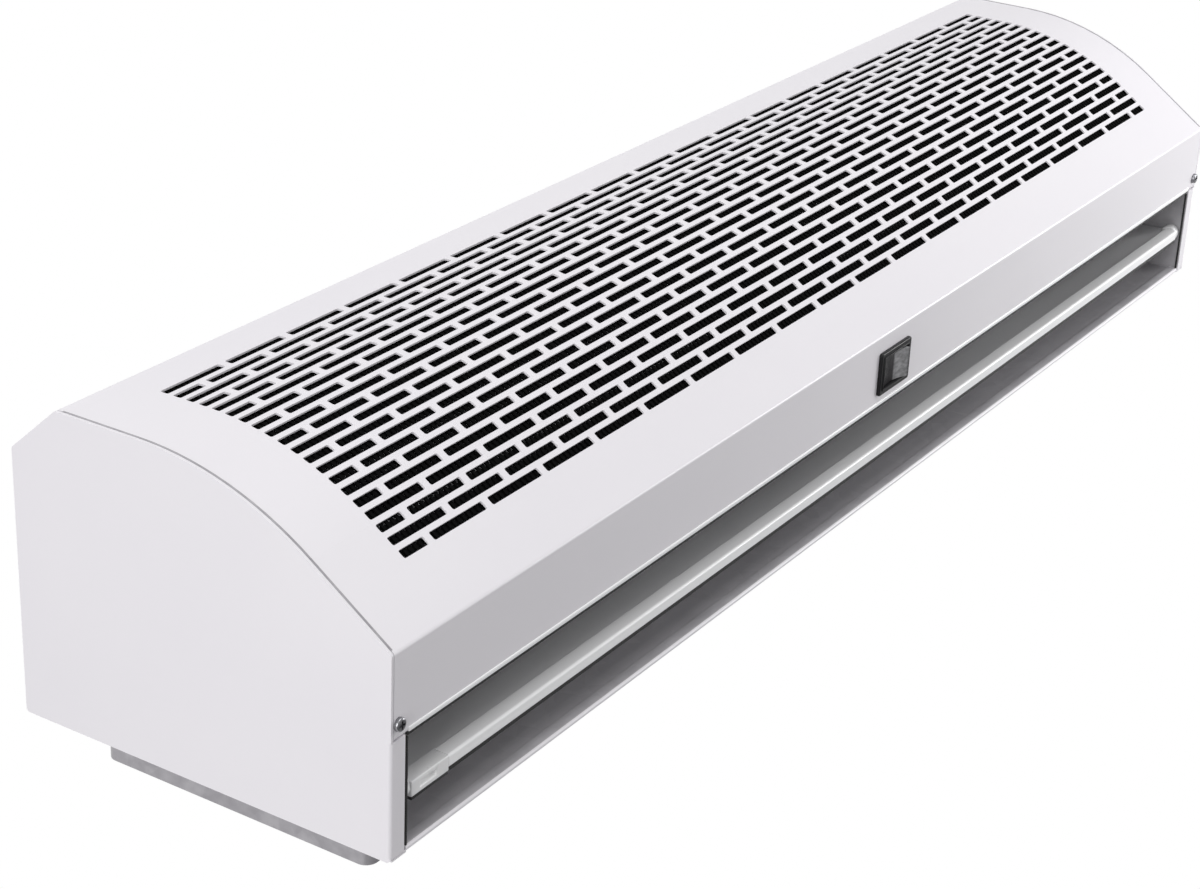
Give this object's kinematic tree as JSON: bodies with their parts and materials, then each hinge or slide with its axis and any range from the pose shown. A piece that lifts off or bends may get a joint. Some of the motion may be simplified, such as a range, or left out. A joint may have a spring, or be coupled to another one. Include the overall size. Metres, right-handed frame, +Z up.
{
  "type": "air curtain",
  "caption": "Wall-hung cross-flow air curtain: long white sheet-metal casing with a slotted rounded front, outlet louvre, rocker switch and hook-on wall plate.",
  "frame": {"origin": "middle of the four wall holes, in the wall's plane at the back of the wall plate", "axes": "+X along the casing's length, +Y into the wall, +Z up; the outlet blows down towards -Z"},
  "size_m": [0.9, 0.168, 0.2252],
  "materials": {
    "white_enamel": "white powder coat, smooth semi-gloss",
    "galvanised_sheet": "galvanised steel sheet, dull with faint spangle",
    "wheel_metal": "mill-finish aluminium",
    "machined_steel": "turned steel",
    "zinc_screw": "zinc plated",
    "louvre_white": "bright white coat",
    "white_plastic": "white moulded plastic",
    "black_plastic": "black moulded plastic",
    "rocker_plastic": "black moulded plastic, worn satin",
    "black_rubber": "black rubber",
    "natural_nylon": "natural nylon",
    "grey_cable": "grey cable sheath",
    "motor_enamel": "dark motor enamel",
    "lamination_steel": "stacked laminations",
    "copper_wire": "enamelled copper",
    "screen_plastic": "matt black moulded plastic",
    "tinned_brass": "tinned brass"
  },
  "bodies": {
    "casing": {"front_cover": "white_enamel", "rear_casing": "white_enamel", "end_panel_left": "white_enamel", "end_panel_right": "white_enamel", "side_plate_left": "galvanised_sheet", "side_plate_right": "galvanised_sheet", "scroll_wall": "galvanised_sheet", "tongue_plate": "galvanised_sheet", "scroll_stays": "galvanised_sheet", "wall_plate": "galvanised_sheet", "motor_cradle": "galvanised_sheet", "motor_clamp_rings": "galvanised_sheet", "capacitor_strap": "galvanised_sheet", "locking_screws": "zinc_screw", "cover_screws": "zinc_screw", "cradle_screws": "zinc_screw", "motor_clamp_screws": "zinc_screw", "fixing_screws": "zinc_screw", "casing_rivets": "zinc_screw", "end_bearings": "machined_steel", "bearing_rubbers": "black_rubber", "motor_can": "motor_enamel", "motor_end_bell_left": "motor_enamel", "motor_end_bell_right": "motor_enamel", "motor_bearings": "machined_steel", "motor_stator": "lamination_steel", "motor_windings": "copper_wire", "motor_rubbers": "black_rubber", "louvre_bushes": "natural_nylon", "switch_body": "black_plastic", "switch_terminals": "tinned_brass", "switch_plug": "natural_nylon", "terminal_block": "natural_nylon", "terminal_screws": "tinned_brass", "motor_capacitor": "black_plastic", "cable_gland": "black_plastic", "gland_nut": "black_plastic", "wire_loom": "grey_cable", "motor_lead": "grey_cable", "capacitor_lead": "grey_cable", "loom_clips": "natural_nylon", "screen_frame": "screen_plastic"},
    "rotor": {"impeller_left": "wheel_metal", "impeller_right": "wheel_metal", "wheel_hubs": "machined_steel", "hub_setscrews": "machined_steel", "end_shafts": "machined_steel", "motor_rotor_core": "lamination_steel", "motor_shaft": "machined_steel"},
    "louvre": {"louvre_blade": "louvre_white", "louvre_grip": "white_plastic", "louvre_pivot": "white_plastic"},
    "rocker": {"switch_rocker": "rocker_plastic"}
  },
  "joints": [
    {"name": "rotor_spin", "type": "hinge", "parent": "casing", "child": "rotor", "pos_m": [0, -0.082, 0.029], "axis": [1, 0, 0], "continuous": true},
    {"name": "louvre_tilt", "type": "hinge", "parent": "casing", "child": "louvre", "pos_m": [0, -0.038, -0.0815], "axis": [1, 0, 0], "range_deg": [-25, 25]},
    {"name": "switch_rock", "type": "hinge", "parent": "casing", "child": "rocker", "pos_m": [-0.0027, -0.088, -0.086], "axis": [0, -1, 0], "range_deg": [0, 16]}
  ]
}
